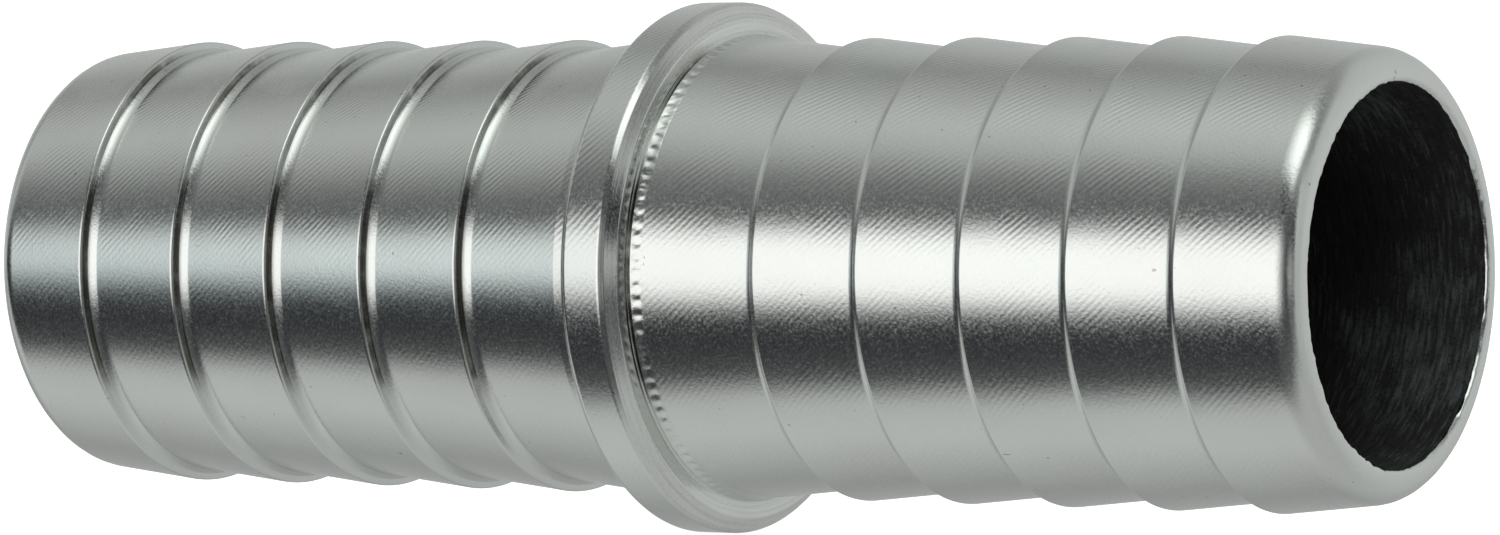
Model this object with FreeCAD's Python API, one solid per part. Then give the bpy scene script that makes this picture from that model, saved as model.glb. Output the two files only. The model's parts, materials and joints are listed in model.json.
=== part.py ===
import FreeCAD, Part
import math
import os

# A straight barbed connector for joining two lengths of hose of 12.7 mm (half inch) bore.
# It is one piece turned from round bar: two identical five-barb tails, back to back, with a
# thin round collar between them and a plain bore right through.
#
# The bore runs along X. The origin is on its axis, half way along the collar.
# Everything is in millimetres.

# Driving dimensions
overall_length = 45.0
bore_diameter = 10.9
crest_diameter = 13.6
barb_count = 5
barb_pitch = 3.44
first_crest_from_middle = 5.16
step_height = 0.38
collar_diameter = 15.75
collar_width = 1.17

# Small turned details
crest_land = 0.3
step_corner_radius = 0.12
collar_corner_radius = 0.15
collar_cove_radius = 0.75
end_corner_radius = 0.85
bore_mouth_chamfer = 0.12

# Worked out from the dimensions above
half_length = overall_length / 2
bore_radius = bore_diameter / 2
crest_radius = crest_diameter / 2
step_foot_radius = crest_radius - step_height
collar_radius = collar_diameter / 2
collar_face = collar_width / 2
cone_slope = step_height / (barb_pitch - crest_land)
SHARP = 0.0


def crest_position(barb):
    """Distance from the middle of the collar to the step of one barb, 0 being the nearest."""
    return first_crest_from_middle + barb * barb_pitch


def cone_radius(position, crest):
    """Radius at a position on the cone that falls away from the crest land towards the end."""
    return crest_radius - cone_slope * (position - crest - crest_land)


def collar_corners():
    """Rim of the collar, then the cove where its face meets the tapered neck."""
    neck_at_face = step_foot_radius + cone_slope * (first_crest_from_middle - collar_face)
    return [
        (collar_face, collar_radius, collar_corner_radius),
        (collar_face, neck_at_face, collar_cove_radius),
    ]


def barb_corners(barb):
    """Foot of the step that faces the collar, and the two edges of the crest land."""
    crest = crest_position(barb)
    return [
        (crest, step_foot_radius, step_corner_radius),
        (crest, crest_radius, SHARP),
        (crest + crest_land, crest_radius, SHARP),
    ]


def end_corners():
    """Rounded nose, flat end face and the broken edge of the bore."""
    last_crest = crest_position(barb_count - 1)
    return [
        (half_length, cone_radius(half_length, last_crest), end_corner_radius),
        (half_length, bore_radius + bore_mouth_chamfer, SHARP),
        (half_length - bore_mouth_chamfer, bore_radius, SHARP),
    ]


def tail_corners():
    """Outline of one half of the body, from the collar to the bore mouth.

    Each corner is its position along the bore, its radius from the axis, and the radius
    that rounds it.
    """
    corners = collar_corners()
    for barb in range(barb_count):
        corners += barb_corners(barb)
    return corners + end_corners()


def rounded_corner(before, corner, after, radius):
    """Arc tangent to both sides of a corner, with its two end points."""
    to_before = (before - corner).normalize()
    to_after = (after - corner).normalize()
    half_angle = to_before.getAngle(to_after) / 2
    setback = radius / math.tan(half_angle)
    depth = radius / math.sin(half_angle) - radius
    start = corner + to_before * setback
    end = corner + to_after * setback
    middle = corner + (to_before + to_after).normalize() * depth
    return start, end, Part.Arc(start, middle, end).toShape()


def outline_face(corners):
    """Flat face in the XZ plane bounded by straight sides and rounded corners."""
    points = [FreeCAD.Vector(along, 0, radius) for along, radius, rounding in corners]
    sides = []
    arcs = []
    for index, point in enumerate(points):
        rounding = corners[index][2]
        if rounding == SHARP:
            sides.append((point, point))
            arcs.append(None)
            continue
        before = points[index - 1]
        after = points[(index + 1) % len(points)]
        start, end, arc = rounded_corner(before, point, after, rounding)
        sides.append((start, end))
        arcs.append(arc)
    edges = []
    for index, (start, end) in enumerate(sides):
        previous_end = sides[index - 1][1]
        edges.append(Part.LineSegment(previous_end, start).toShape())
        if arcs[index]:
            edges.append(arcs[index])
    return Part.Face(Part.Wire(edges))


def barbed_joiner_body():
    """Both tails, the collar and the bore as one turned solid."""
    right_half = tail_corners()
    left_half = [(-along, radius, rounding) for along, radius, rounding in reversed(right_half)]
    section = outline_face(left_half + right_half)
    return section.revolve(FreeCAD.Vector(0, 0, 0), FreeCAD.Vector(1, 0, 0), 360)


os.makedirs("parts", exist_ok=True)
barbed_joiner_body().exportStep("parts/barbed_joiner_body.step")
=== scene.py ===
"""A straight barbed hose joiner, turned from bar and zinc plated, on a pale studio floor.

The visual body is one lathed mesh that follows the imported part's outline and adds the small
turned detail: rounded crests, a smooth hollow at the foot of each step, the collar's bevels,
the groove at its foot, the chatter beads on its right, and the uneven edges of the bore. The
bore runs along X.
"""
import json
import math

import bpy
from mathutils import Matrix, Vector, noise


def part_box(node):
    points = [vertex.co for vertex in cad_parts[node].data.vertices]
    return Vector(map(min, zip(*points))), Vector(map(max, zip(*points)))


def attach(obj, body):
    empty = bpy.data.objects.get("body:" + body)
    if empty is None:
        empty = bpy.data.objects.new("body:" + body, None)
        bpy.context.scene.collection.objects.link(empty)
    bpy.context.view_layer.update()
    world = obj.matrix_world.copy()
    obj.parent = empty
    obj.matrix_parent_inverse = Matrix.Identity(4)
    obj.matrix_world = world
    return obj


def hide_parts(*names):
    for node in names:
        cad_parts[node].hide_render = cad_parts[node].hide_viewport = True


MM = 0.001
MICROMETRE = 1e-6
NODE = "barbed_joiner_body"

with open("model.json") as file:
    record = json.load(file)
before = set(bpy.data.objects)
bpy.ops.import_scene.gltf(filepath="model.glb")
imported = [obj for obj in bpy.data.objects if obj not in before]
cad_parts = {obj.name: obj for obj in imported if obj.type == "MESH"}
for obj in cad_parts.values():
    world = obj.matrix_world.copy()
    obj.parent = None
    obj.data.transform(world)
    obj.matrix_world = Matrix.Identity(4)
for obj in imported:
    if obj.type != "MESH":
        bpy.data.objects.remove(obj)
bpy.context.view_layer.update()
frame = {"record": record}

# ---------------------------------------------------------------- sizes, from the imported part
mounts = {mount["name"]: mount for mount in frame["record"]["mounts"]}
high_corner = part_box(NODE)[1]
half_length = high_corner.x
collar_radius = high_corner.z
bore_radius = mounts["through_bore"]["dims"]["r_mm"] * MM
crest_radius = mounts["right_hose_tail"]["dims"]["r_mm"] * MM

# The barbs and the collar, in the part's own design dimensions
barb_count = 5
barb_pitch = 3.44 * MM
first_crest = 5.16 * MM
step_height = 0.38 * MM
collar_face = 0.585 * MM
end_radius = 0.85 * MM
step_foot_radius = crest_radius - step_height
cone_slope = step_height / barb_pitch

# Each step leans a little and has a smooth hollow at its foot, left by the tool's nose
step_run = 0.075 * MM
tool_nose_radius = 0.5 * MM
root_band_width = 0.30 * MM
root_band_tilts = (math.radians(3), math.radians(40))
step_foot_fillet = 0.04 * MM
sharp_edge_radius = 0.02 * MM
bore_edge_radius = 0.15 * MM
bore_edge_waviness = 0.05 * MM
waviness_details = (5, 19, 47)

# Each tail was turned in its own set-up, so their edges and the foot of the collar differ a little
RIGHT = {"crest_edge": 0.085 * MM, "collar_edge": 0.14 * MM, "groove_depth": 0.05 * MM,
         "foot_width": 0.33 * MM, "foot_tilts": (math.radians(8), math.radians(24))}
LEFT = {"crest_edge": 0.08 * MM, "collar_edge": 0.22 * MM, "groove_depth": 0.01 * MM,
        "foot_width": 0.55 * MM, "foot_tilts": (math.radians(-1), math.radians(5))}
collar_foot = 1.10 * MM
foot_groove_width = 0.10 * MM

# Width and drop of each bevel, from the rim of the collar inwards
collar_bevels = ((0.15 * MM, 0.12 * MM), (0.25 * MM, 0.34 * MM))

# Tool chatter: beads on the right of the collar's foot, and marks that climb round the body
bead_count = 104
bead_height = 0.016 * MM
bead_half_width = 0.165 * MM
chatter_count = 184
chatter_slant = 0.95

# Painted shade in the corners, and specks of dirt, both in this dark brown
corner_shade_half_width = 0.065 * MM
speck_and_shade_colour = (0.10, 0.09, 0.073)

# Fineness of the mottling in the materials, as noise cells in a metre
patch_scale = 260
drift_scale = 420
fading_scale = 600
blotch_scale = 1600
speck_scale = 4200
grain_scale = 12000

# Mesh resolution
segments_around = 3 * bead_count
segments_in_beads = 2 * segments_around
arc_step = math.radians(13)


# ---------------------------------------------------------------- outline
def step_corners(crest, crest_edge):
    """A step seen from the collar outwards: hollow at the foot, leaning wall and crest."""
    band_end = crest - step_run
    band_start = band_end - root_band_width
    middle = (band_start + band_end) / 2
    start_rise, end_rise = (root_band_width / 2 * math.tan(tilt) for tilt in root_band_tilts)
    radius = cone_radius(band_start, crest)
    return [
        (band_start, radius, tool_nose_radius),
        (middle, radius + start_rise, tool_nose_radius),
        (band_end, radius + start_rise + end_rise, step_foot_fillet),
        (crest, crest_radius, crest_edge),
    ]


def cone_radius(along, next_crest):
    """Radius of the cone that falls away to the step at the next crest."""
    return step_foot_radius + cone_slope * (next_crest - along)


def collar_corners(tail):
    """Edge of the collar, its bevels and face, the groove at the foot and the band beside it."""
    half_foot = tail["foot_width"] / 2
    band_end = collar_foot + tail["foot_width"]
    near_tilt, far_tilt = tail["foot_tilts"]
    neck_radius = cone_radius(band_end, first_crest)
    middle_radius = neck_radius + half_foot * math.tan(near_tilt)
    foot_radius = middle_radius + half_foot * math.tan(far_tilt)
    groove_top = collar_foot - foot_groove_width
    groove_middle = groove_top + foot_groove_width / 2
    corners = [(collar_face, collar_radius, tail["collar_edge"])]
    for width, drop in collar_bevels:
        along, radius, edge = corners[-1]
        corners.append((along + width, radius - drop, edge))
    return corners + [
        (groove_top, foot_radius + tail["groove_depth"], sharp_edge_radius),
        (groove_middle, foot_radius - tail["groove_depth"], sharp_edge_radius / 2),
        (collar_foot, foot_radius, sharp_edge_radius / 2),
        (collar_foot + half_foot, middle_radius, tool_nose_radius),
        (band_end, neck_radius, sharp_edge_radius),
    ]


def tail_corners(tail):
    """Outline of one tail from the collar to the bore: place, radius and rounding."""
    corners = collar_corners(tail)
    for barb in range(barb_count):
        crest = first_crest + barb * barb_pitch
        corners += step_corners(crest, tail["crest_edge"])
    nose_radius = cone_radius(half_length, crest + barb_pitch)
    return corners + [
        (half_length, nose_radius, end_radius),
        (half_length, bore_radius, bore_edge_radius),
    ]


def rounded_outline(corners):
    """Points and outward normals along a closed outline whose corners are rounded.

    Each point is (place along X, radius, normal along X, normal outwards).
    """
    points = []
    count = len(corners)
    for index, (along, radius, rounding) in enumerate(corners):
        corner = Vector((along, radius))
        before = Vector(corners[index - 1][:2])
        after = Vector(corners[(index + 1) % count][:2])
        heading_in = (corner - before).normalized()
        heading_out = (after - corner).normalized()
        turn = math.atan2(heading_in.cross(heading_out), heading_in.dot(heading_out))
        setback = rounding * math.tan(abs(turn) / 2)
        start = corner - heading_in * setback
        side = math.copysign(1, turn)
        centre = start + Vector((-heading_in.y, heading_in.x)) * rounding * side
        steps = max(2, math.ceil(abs(turn) / arc_step))
        for step in range(steps + 1):
            angle = math.atan2(heading_in.y, heading_in.x) + turn * step / steps
            normal = Vector((-math.sin(angle), math.cos(angle)))
            place = centre - normal * rounding * side
            points.append((place.x, place.y, normal.x, normal.y))
    return points


def bead_share(along):
    """How far a place along the body lies in the one row of beads, 0 to 1."""
    distance = abs(along - collar_foot - bead_half_width) / bead_half_width
    return max(0.0, 1 - distance * distance)


def bead_lift(along, angle):
    """Height of the chatter beads at a point of the surface."""
    share = bead_share(along)
    if share == 0:
        return 0.0
    around = Vector((math.cos(angle), math.sin(angle), 0.4))
    uneven_strength = 0.8 + 0.6 * noise.noise(around * 6)
    uneven_spacing = 1.2 * noise.noise(around * 3)
    scallop = 2 * abs(math.sin((bead_count * angle + uneven_spacing) / 2)) - 1
    return bead_height * share * uneven_strength * scallop


def mouth_waviness(along, radius, angle):
    """Uneven hand-broken edge round the bore's mouth, worst half way over its rounding."""
    share = (radius - bore_radius) / bore_edge_radius
    if not 0 < share < 1:
        return 0.0
    around = Vector((math.cos(angle), math.sin(angle), math.copysign(1, along)))
    unevenness = sum(noise.noise(around * detail) for detail in waviness_details)
    return bore_edge_waviness * 4 * share * (1 - share) * unevenness


def densify(points):
    """Adds rings to the outline inside the bead row, where the beads need them."""
    dense = []
    spacing = bead_half_width / 4
    for index, point in enumerate(points):
        before = points[index - 1]
        gap = math.hypot(point[0] - before[0], point[1] - before[1])
        pieces = 1
        if bead_share(point[0]) > 0 or bead_share(before[0]) > 0:
            pieces = max(1, min(8, math.ceil(gap / spacing)))
        for piece in range(1, pieces + 1):
            share = piece / pieces
            dense.append(tuple(a + (b - a) * share for a, b in zip(before, point)))
    return dense


# ---------------------------------------------------------------- lathe
def lathe(name, outline, materials, material_of):
    """Mesh swept round X from an outline, finer in the bead row.

    Each ring keeps the outline's own normals, except where beads or waviness lift its points:
    a normal of zero leaves the smooth one that the mesh works out for itself.
    """
    vertices, normals, faces, face_materials, rings = [], [], [], [], []
    for along, radius, normal_along, normal_out in outline:
        beaded = bead_share(along) > 0 and radius > step_foot_radius
        count = segments_in_beads if beaded else segments_around
        rings.append((len(vertices), count))
        for segment in range(count):
            angle = 2 * math.pi * segment / count
            lift = bead_lift(along, angle) if beaded else mouth_waviness(along, radius, angle)
            out_y, out_z = -math.cos(angle), math.sin(angle)
            reach = radius + lift
            vertices.append((along, reach * out_y, reach * out_z))
            known = (normal_along, normal_out * out_y, normal_out * out_z)
            normals.append((0, 0, 0) if lift or beaded else known)
    for index, (start, count) in enumerate(rings):
        other, other_count = rings[(index + 1) % len(rings)]
        material = material_of(outline[index], outline[(index + 1) % len(outline)])
        new_faces = bridge(start, count, other, other_count)
        faces += new_faces
        face_materials += [material] * len(new_faces)
    mesh = bpy.data.meshes.new(name)
    mesh.from_pydata(vertices, [], faces)
    for material in materials:
        mesh.materials.append(material)
    mesh.polygons.foreach_set("material_index", face_materials)
    mesh.polygons.foreach_set("use_smooth", [True] * len(faces))
    mesh.update()
    mesh.normals_split_custom_set_from_vertices(normals)
    body = bpy.data.objects.new(name, mesh)
    bpy.context.scene.collection.objects.link(body)
    return body


def bridge(start, count, other, other_count):
    """Faces between two rings, where one may have twice as many points as the other."""
    if count == other_count:
        faces = []
        for step in range(count):
            after = (step + 1) % count
            faces.append((start + step, other + step, other + after, start + after))
        return faces
    if count < other_count:
        coarse, fine, coarse_count = start, other, count
    else:
        coarse, fine, coarse_count = other, start, other_count
    faces = []
    for step in range(coarse_count):
        after = (step + 1) % coarse_count
        a, b = coarse + step, coarse + after
        p, q, r = fine + 2 * step, fine + 2 * step + 1, fine + (2 * after) % (2 * coarse_count)
        fan = [(a, p, q), (a, q, b), (b, q, r)]
        if coarse == other:
            fan = [tuple(reversed(face)) for face in fan]
        faces += fan
    return faces


# ---------------------------------------------------------------- material nodes
class Nodes:
    """Short calls for making and linking shader nodes."""

    def __init__(self, tree):
        self.tree = tree
        tree.nodes.clear()

    def add(self, kind, **settings):
        node = self.tree.nodes.new(kind)
        for name, value in settings.items():
            setattr(node, name, value)
        return node

    def link(self, source, target):
        if isinstance(source, (int, float)):
            target.default_value = source
        elif isinstance(source, tuple):
            target.default_value = (*source, 1)
        else:
            self.tree.links.new(source, target)

    def math(self, operation, *values):
        node = self.add("ShaderNodeMath", operation=operation)
        for value, socket in zip(values, node.inputs):
            self.link(value, socket)
        return node.outputs[0]

    def band(self, value, low, high):
        """Smooth rise from 0 at low to 1 at high, or a fall where low is the larger."""
        node = self.add("ShaderNodeMapRange", interpolation_type="SMOOTHSTEP")
        self.link(value, node.inputs["Value"])
        if low < high:
            limits = (low, high, 0.0, 1.0)
        else:
            limits = (high, low, 1.0, 0.0)
        for name, limit in zip(("From Min", "From Max", "To Min", "To Max"), limits):
            node.inputs[name].default_value = limit
        return node.outputs["Result"]

    def noise(self, vector, scale, detail=2.0, roughness=0.5):
        node = self.add("ShaderNodeTexNoise")
        self.link(vector, node.inputs["Vector"])
        node.inputs["Scale"].default_value = scale
        node.inputs["Detail"].default_value = detail
        node.inputs["Roughness"].default_value = roughness
        return node.outputs["Fac"]

    def blend(self, share, first, second, blend_type="MIX"):
        """Mix of two colours, where the second may be a plain colour."""
        node = self.add("ShaderNodeMix", data_type="RGBA", blend_type=blend_type)
        node.clamp_result = False
        self.link(share, node.inputs["Factor"])
        self.link(first, node.inputs["A"])
        self.link(second, node.inputs["B"])
        return node.outputs["Result"]

    def ramp(self, value, stops):
        node = self.add("ShaderNodeValToRGB")
        elements = node.color_ramp.elements
        while len(elements) < len(stops):
            elements.new(0.5)
        for element, (position, colour) in zip(elements, stops):
            element.position = position
            element.color = (*colour, 1)
        self.link(value, node.inputs["Fac"])
        return node.outputs["Color"]


def angle_round_axis(nodes, across, up):
    """Angle round the bore's axis: 0 level in front and a quarter turn overhead."""
    return nodes.math("ARCTAN2", up, nodes.math("MULTIPLY", across, -1.0))


class TurnedPlace:
    """Where a shaded point lies on the body, as shader values in metres."""

    def __init__(self, nodes):
        self.point = nodes.add("ShaderNodeTexCoord").outputs["Object"]
        split = nodes.add("ShaderNodeSeparateXYZ")
        nodes.link(self.point, split.inputs[0])
        self.along, self.across, self.up = split.outputs
        across_squared = nodes.math("POWER", self.across, 2.0)
        up_squared = nodes.math("POWER", self.up, 2.0)
        self.radius = nodes.math("SQRT", nodes.math("ADD", across_squared, up_squared))
        self.reach = nodes.math("ABSOLUTE", self.along)
        self.from_step = self.distance_to_step(nodes)

    def distance_to_step(self, nodes):
        """Distance along the body to the foot of the nearest step."""
        first_foot = first_crest - step_run
        barb = nodes.math("DIVIDE", nodes.math("SUBTRACT", self.reach, first_foot), barb_pitch)
        barb = nodes.math("ROUND", barb)
        barb = nodes.math("MINIMUM", nodes.math("MAXIMUM", barb, 0), barb_count - 1)
        nearest_foot = nodes.math("ADD", nodes.math("MULTIPLY", barb, barb_pitch), first_foot)
        return nodes.math("ABSOLUTE", nodes.math("SUBTRACT", self.reach, nearest_foot))


def turning_lines(nodes, place, density, runs):
    """Fine lines straight round the body, unevenly spaced, that break up along the way.

    The density is how many there are in a metre, and runs is how many breaks in each radian.
    """
    stretched = nodes.add("ShaderNodeCombineXYZ")
    outline_place = nodes.math("SUBTRACT", place.reach, place.radius)
    nodes.link(nodes.math("MULTIPLY", outline_place, density), stretched.inputs[0])
    for side, socket in ((place.across, stretched.inputs[1]), (place.up, stretched.inputs[2])):
        nodes.link(nodes.math("MULTIPLY", nodes.math("DIVIDE", side, place.radius), runs), socket)
    return nodes.noise(stretched.outputs[0], 1.0, 3, 0.6)


def chatter_wave(nodes, place, depth):
    """Chatter marks that climb round the body, deeper on top, clear of the steps and the ends."""
    drift = nodes.math("MULTIPLY", nodes.noise(place.point, drift_scale, 2), 8.0)
    turns = nodes.math("MULTIPLY", angle_round_axis(nodes, place.across, place.up), chatter_count)
    slant = nodes.math("MULTIPLY", place.along, -chatter_count * chatter_slant / crest_radius)
    wave = nodes.math("SINE", nodes.math("ADD", nodes.math("ADD", turns, slant), drift))
    clear_of_step = nodes.band(place.from_step, root_band_width / 2, 2 * root_band_width)
    clear_of_end = nodes.band(place.reach, half_length - end_radius / 3, half_length - 1.3 * end_radius)
    fading = nodes.band(nodes.noise(place.point, fading_scale, 2), 0.35, 0.65)
    strength = nodes.math("ADD", fading, 0.25)
    deeper_above = nodes.band(place.up, -0.2 * crest_radius, 0.9 * crest_radius)
    deeper_above = nodes.math("ADD", nodes.math("MULTIPLY", deeper_above, 0.75), 0.35)
    for factor in (clear_of_step, clear_of_end, deeper_above, depth):
        strength = nodes.math("MULTIPLY", strength, factor)
    return nodes.math("MULTIPLY", wave, strength)


def painted_corner_shade(nodes, place, strength):
    """Painted shade: a thin dark brown band at the foot of each step and in the groove on the right of
    the collar.

    The painted shade is light between level and high up, heavy elsewhere, and gone low down and right
    on top.
    """
    groove_middle = collar_foot - foot_groove_width / 2
    from_groove = nodes.math("ABSOLUTE", nodes.math("SUBTRACT", place.along, groove_middle))
    nearest = nodes.math("MINIMUM", place.from_step, from_groove)
    in_corner = nodes.band(nearest, corner_shade_half_width, corner_shade_half_width / 2)
    blotches = nodes.band(nodes.noise(place.point, blotch_scale, 3), 1.0, 0.38)
    heavy_in_front = nodes.band(place.up, 0.46 * crest_radius, 0.32 * crest_radius)
    heavy_high_up = nodes.band(place.up, 0.50 * crest_radius, 0.80 * crest_radius)
    weight = nodes.math("MAXIMUM", nodes.math("MAXIMUM", heavy_in_front, heavy_high_up), 0.25)
    clear_below = nodes.band(place.up, -0.60 * crest_radius, -0.44 * crest_radius)
    clear_on_top = nodes.band(place.up, 0.98 * crest_radius, 0.88 * crest_radius)
    # How dark the painted shade is at each point of the corners
    corner_shade_amount = nodes.math("MULTIPLY", in_corner, strength)
    for factor in (blotches, weight, clear_below, clear_on_top):
        corner_shade_amount = nodes.math("MULTIPLY", corner_shade_amount, factor)
    return corner_shade_amount


def mixed(nodes, first, second, share):
    """Weighted sum of two shader values, where share is the part of the first."""
    first_part = nodes.math("MULTIPLY", first, share)
    return nodes.math("ADD", first_part, nodes.math("MULTIPLY", second, 1 - share))


def steel(name, tones, roughness, metallic=1.0, chatter_height=0.0, line_height=0.02,
          line_density=12000, line_runs=1.5, line_share=0.0, grain_height=4.0, patch_share=0.35,
          shade_in_corners=0.0):
    """Turned steel, from its tones light to dark and its marks' heights in micrometres.

    line_share is how much the turning lines colour the steel, and patch_share how much of the
    rest comes from broad patches instead of the fine grain.
    """
    material = bpy.data.materials.new(name)
    material.use_nodes = True
    nodes = Nodes(material.node_tree)
    place = TurnedPlace(nodes)

    patches = nodes.noise(place.point, patch_scale, 3)
    grain = nodes.noise(place.point, grain_scale, 3, 0.75)
    lines = turning_lines(nodes, place, line_density, line_runs)
    height = nodes.math("MULTIPLY", grain, grain_height)
    height = nodes.math("ADD", height, nodes.math("MULTIPLY", lines, line_height))
    if chatter_height:
        height = nodes.math("ADD", height, chatter_wave(nodes, place, chatter_height))
    bump = nodes.add("ShaderNodeBump")
    bump.inputs["Strength"].default_value = 1.0
    bump.inputs["Distance"].default_value = MICROMETRE
    nodes.link(height, bump.inputs["Height"])

    speckle = mixed(nodes, lines, mixed(nodes, patches, grain, patch_share), line_share)
    light, middle, dark = tones
    clean = nodes.ramp(speckle, [(0.32, dark), (0.5, middle), (0.68, light)])
    specks = nodes.band(nodes.noise(place.point, speck_scale, 1), 0.77, 0.81)
    faint_specks = nodes.math("MULTIPLY", specks, 0.4)
    # Painted shade in the corners, mixed with faint specks of real dirt
    specks_and_painted_shade = nodes.math("MAXIMUM", faint_specks, painted_corner_shade(nodes, place, shade_in_corners))
    colour = nodes.blend(specks_and_painted_shade, clean, speck_and_shade_colour)
    rough = nodes.add("ShaderNodeMapRange")
    nodes.link(grain, rough.inputs["Value"])
    limits = {"From Min": 0.35, "From Max": 0.70, "To Min": roughness * 0.6, "To Max": roughness * 2.2}
    for socket, value in limits.items():
        rough.inputs[socket].default_value = value

    tangent = nodes.add("ShaderNodeTangent", direction_type="RADIAL", axis="X")
    shader = nodes.add("ShaderNodeBsdfPrincipled")
    shader.inputs["Metallic"].default_value = metallic
    shader.inputs["Anisotropic"].default_value = 0.5
    nodes.link(tangent.outputs[0], shader.inputs["Tangent"])
    nodes.link(colour, shader.inputs["Base Color"])
    nodes.link(rough.outputs["Result"], shader.inputs["Roughness"])
    nodes.link(bump.outputs["Normal"], shader.inputs["Normal"])
    output = nodes.add("ShaderNodeOutputMaterial")
    nodes.link(shader.outputs[0], output.inputs["Surface"])
    return material


# ---------------------------------------------------------------- body
def build_body():
    """The joiner's visual body, with a finish for each kind of turned surface."""
    plating = ((0.76, 0.795, 0.76), (0.74, 0.755, 0.73), (0.70, 0.70, 0.675))
    scraped = ((0.86, 0.88, 0.85), (0.74, 0.75, 0.73), (0.52, 0.515, 0.49))
    # The bore wall's near-black tones are painted shade; its streaks and patches are the unplated
    # steel's own marks
    bore_shade_tones = ((0.26, 0.285, 0.29), (0.055, 0.056, 0.054), (0.025, 0.024, 0.022))
    materials = [
        # The corner setting on the plated finishes paints dark shade at the foot of each step and in
        # the collar's groove
        steel("plated_surface", plating, 0.12, chatter_height=1.65, shade_in_corners=0.9),
        steel("plated_face", scraped, 0.10, line_height=3.0, line_share=0.45, grain_height=1.5,
              shade_in_corners=0.9),
        steel("shaded_bore_wall", bore_shade_tones, 0.40, metallic=0.3, line_height=6.0, line_density=9000,
              line_runs=6.0, line_share=0.4, patch_share=0.6),
    ]
    surface, face, bore = range(len(materials))

    def material_of(start, end):
        middle = abs(start[0] + end[0]) / 2
        if max(start[1], end[1]) < bore_radius + bore_edge_radius / 100:
            return bore
        return face if collar_face < middle < collar_foot else surface

    right_half = tail_corners(RIGHT)
    left_half = [(-along, radius, rounding) for along, radius, rounding in reversed(tail_corners(LEFT))]
    outline = densify(rounded_outline(left_half + right_half))
    return lathe("joiner_body", outline, materials, material_of)


body = build_body()
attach(body, "root")
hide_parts(NODE)


# ---------------------------------------------------------------- studio
def studio_light():
    """A pale room that is dark level in front, with soft boxes in the dark and high up.

    Everything is placed by direction. The angle runs round the bore's axis: 0 level in front,
    90 overhead, -90 below and 180 behind. Along is the direction's part along the bore.
    """
    world = bpy.data.worlds.new("studio")
    bpy.context.scene.world = world
    world.use_nodes = True
    nodes = Nodes(world.node_tree)
    split = nodes.add("ShaderNodeSeparateXYZ")
    nodes.link(nodes.add("ShaderNodeTexCoord").outputs["Generated"], split.inputs[0])
    along, across, up = split.outputs
    angle = angle_round_axis(nodes, across, up)
    turn = nodes.math("ADD", nodes.math("DIVIDE", angle, 2 * math.pi), 0.5)

    # Brightness of the room at each angle, towards the left, towards the right and past the end
    left_levels = [
        (-180, 0.60), (-165, 0.42), (-130, 0.35), (-108, 0.48), (-88, 0.60), (-66, 0.56),
        (-60, 0.38), (-54, 0.08), (-36, 0.035), (-22, 0.04), (0, 0.05), (24, 0.10), (36, 0.145),
        (48, 0.25), (60, 0.43), (74, 0.55), (84, 0.53), (96, 0.45), (116, 0.29), (134, 0.45),
        (160, 0.54), (180, 0.60),
    ]
    right_levels = [
        (-180, 0.58), (-140, 0.48), (-95, 0.50), (-72, 0.49), (-63, 0.36), (-54, 0.11), (-30, 0.07),
        (0, 0.05), (30, 0.09), (44, 0.09), (54, 0.20), (70, 0.38), (90, 0.33), (98, 0.25),
        (112, 0.32), (124, 0.54), (180, 0.62),
    ]
    end_levels = [
        (-180, 0.50), (-120, 0.48), (-82, 0.42), (-66, 0.17), (-23, 0.12), (-8, 0.40), (14, 0.52),
        (26, 0.08), (44, 0.03), (60, 0.04), (74, 0.60), (84, 0.70), (100, 0.54), (180, 0.50),
    ]

    def tinted(level):
        """Grey of the room's faint green tint."""
        return (0.97 * level, level, 0.975 * level + 0.005)

    def room(levels):
        return nodes.ramp(turn, [(degrees / 360 + 0.5, tinted(level)) for degrees, level in levels])

    lean_pivot = -0.3

    def box_share(box):
        """How much of a soft box a direction meets. Lean raises its lower side on the left."""
        low, low_full, high_full, high = (math.radians(degrees) for degrees in box["angle"])
        left, left_full, right_full, right = box["along"]
        left_of_pivot = nodes.math("MINIMUM", nodes.math("SUBTRACT", along, lean_pivot), 0.0)
        leaning_angle = nodes.math("ADD", angle, nodes.math("MULTIPLY", left_of_pivot, box["lean"]))
        share = nodes.band(leaning_angle, low, low_full)
        for edge in (nodes.band(angle, high, high_full), nodes.band(along, left, left_full),
                     nodes.band(along, right, right_full)):
            share = nodes.math("MULTIPLY", share, edge)
        return share

    # Each box fades in over its first two figures and out over its last two
    front_box = {"angle": (-24, -8, 13, 27), "along": (-0.95, -0.4, 0.2, 0.85), "lean": 0.28,
                 "colour": (1.24, 1.24, 1.23)}
    cool_box = {"angle": (-24, 0, 6, 30), "along": (-0.92, -0.80, -0.68, -0.50), "lean": 0.0,
                "colour": (0.34, 0.41, 0.42)}
    top_box = {"angle": (46, 56, 80, 91), "along": (-0.45, 0.45, 0.55, 0.80), "lean": 0.0,
               "colour": (1.08, 1.14, 1.11)}

    total = nodes.blend(nodes.band(along, -0.3, 0.4), room(left_levels), room(right_levels))
    total = nodes.blend(nodes.band(along, 0.82, 0.95), total, room(end_levels))
    for box in (front_box, cool_box, top_box):
        total = nodes.blend(box_share(box), total, box["colour"], "ADD")

    background = nodes.add("ShaderNodeBackground")
    nodes.link(total, background.inputs["Color"])
    output = nodes.add("ShaderNodeOutputWorld")
    nodes.link(background.outputs[0], output.inputs["Surface"])


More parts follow.
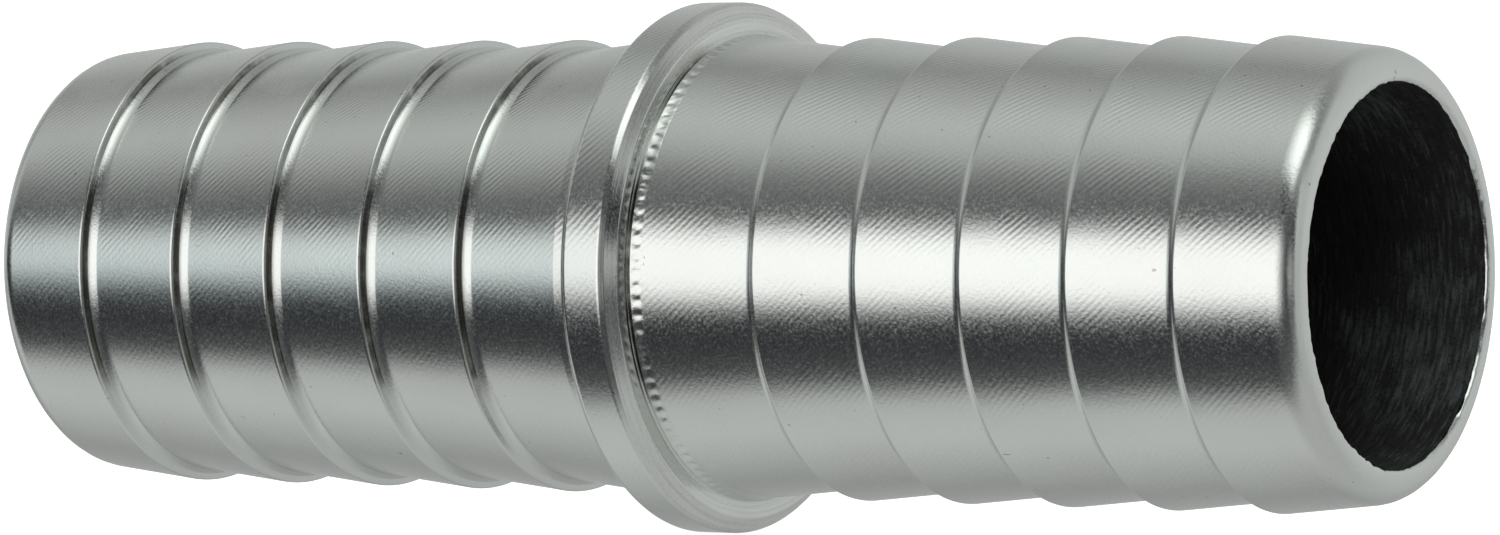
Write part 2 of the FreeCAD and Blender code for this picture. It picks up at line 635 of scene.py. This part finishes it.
def floor_sweep():
    """Pale floor that curves up into a backdrop all round, so every view has it behind."""
    hub_radius, flat_radius, curve_radius, wall_top = 0.02, 0.9, 0.3, 1.3
    steps, around = 12, 96
    floor_height = -collar_radius
    profile = [(hub_radius, floor_height), (flat_radius, floor_height)]
    for step in range(1, steps + 1):
        angle = math.pi / 2 * step / steps
        reach = flat_radius + curve_radius * math.sin(angle)
        profile.append((reach, floor_height + curve_radius * (1 - math.cos(angle))))
    profile.append((flat_radius + curve_radius, wall_top))
    vertices = [(0, 0, floor_height)]
    for reach, height in profile:
        for step in range(around):
            angle = 2 * math.pi * step / around
            vertices.append((reach * math.cos(angle), reach * math.sin(angle), height))
    faces = [(0, 1 + step, 1 + (step + 1) % around) for step in range(around)]
    for ring in range(len(profile) - 1):
        start = 1 + ring * around
        for step in range(around):
            after = (step + 1) % around
            faces.append((start + step, start + around + step, start + around + after, start + after))
    mesh = bpy.data.meshes.new("floor_sweep")
    mesh.from_pydata(vertices, [], faces)
    mesh.polygons.foreach_set("use_smooth", [True] * len(faces))
    material = bpy.data.materials.new("pale_paper")
    material.use_nodes = True
    shader = material.node_tree.nodes["Principled BSDF"]
    shader.inputs["Base Color"].default_value = (0.92, 0.92, 0.92, 1)
    shader.inputs["Roughness"].default_value = 1.0
    shader.inputs["Specular IOR Level"].default_value = 0.0
    shader.inputs["Emission Color"].default_value = (1, 1, 1, 1)
    shader.inputs["Emission Strength"].default_value = 0.8
    mesh.materials.append(material)
    sweep = bpy.data.objects.new("floor_sweep", mesh)
    bpy.context.scene.collection.objects.link(sweep)
    sweep.visible_glossy = False
    sweep.visible_diffuse = False
    sweep.visible_shadow = False


def camera():
    """Long lens, almost level, looking at the tail on +X from the front."""
    view_azimuth = math.radians(32.41)
    view_elevation = math.radians(1.15)
    distance = 0.2247
    aim_along_picture = 0.00069
    right = Vector((math.cos(view_azimuth), math.sin(view_azimuth), 0))
    forward = Vector((
        -math.sin(view_azimuth) * math.cos(view_elevation),
        math.cos(view_azimuth) * math.cos(view_elevation),
        -math.sin(view_elevation),
    ))
    data = bpy.data.cameras.new("camera")
    data.sensor_width = 36
    data.lens = 181.5
    data.clip_start = 0.01
    data.clip_end = 5
    made = bpy.data.objects.new("camera", data)
    made.location = right * aim_along_picture - forward * distance
    made.rotation_mode = "QUATERNION"
    made.rotation_quaternion = forward.to_track_quat("-Z", "Y")
    bpy.context.scene.collection.objects.link(made)
    bpy.context.scene.camera = made


studio_light()
floor_sweep()
camera()
bpy.context.scene.view_settings.view_transform = "Standard"
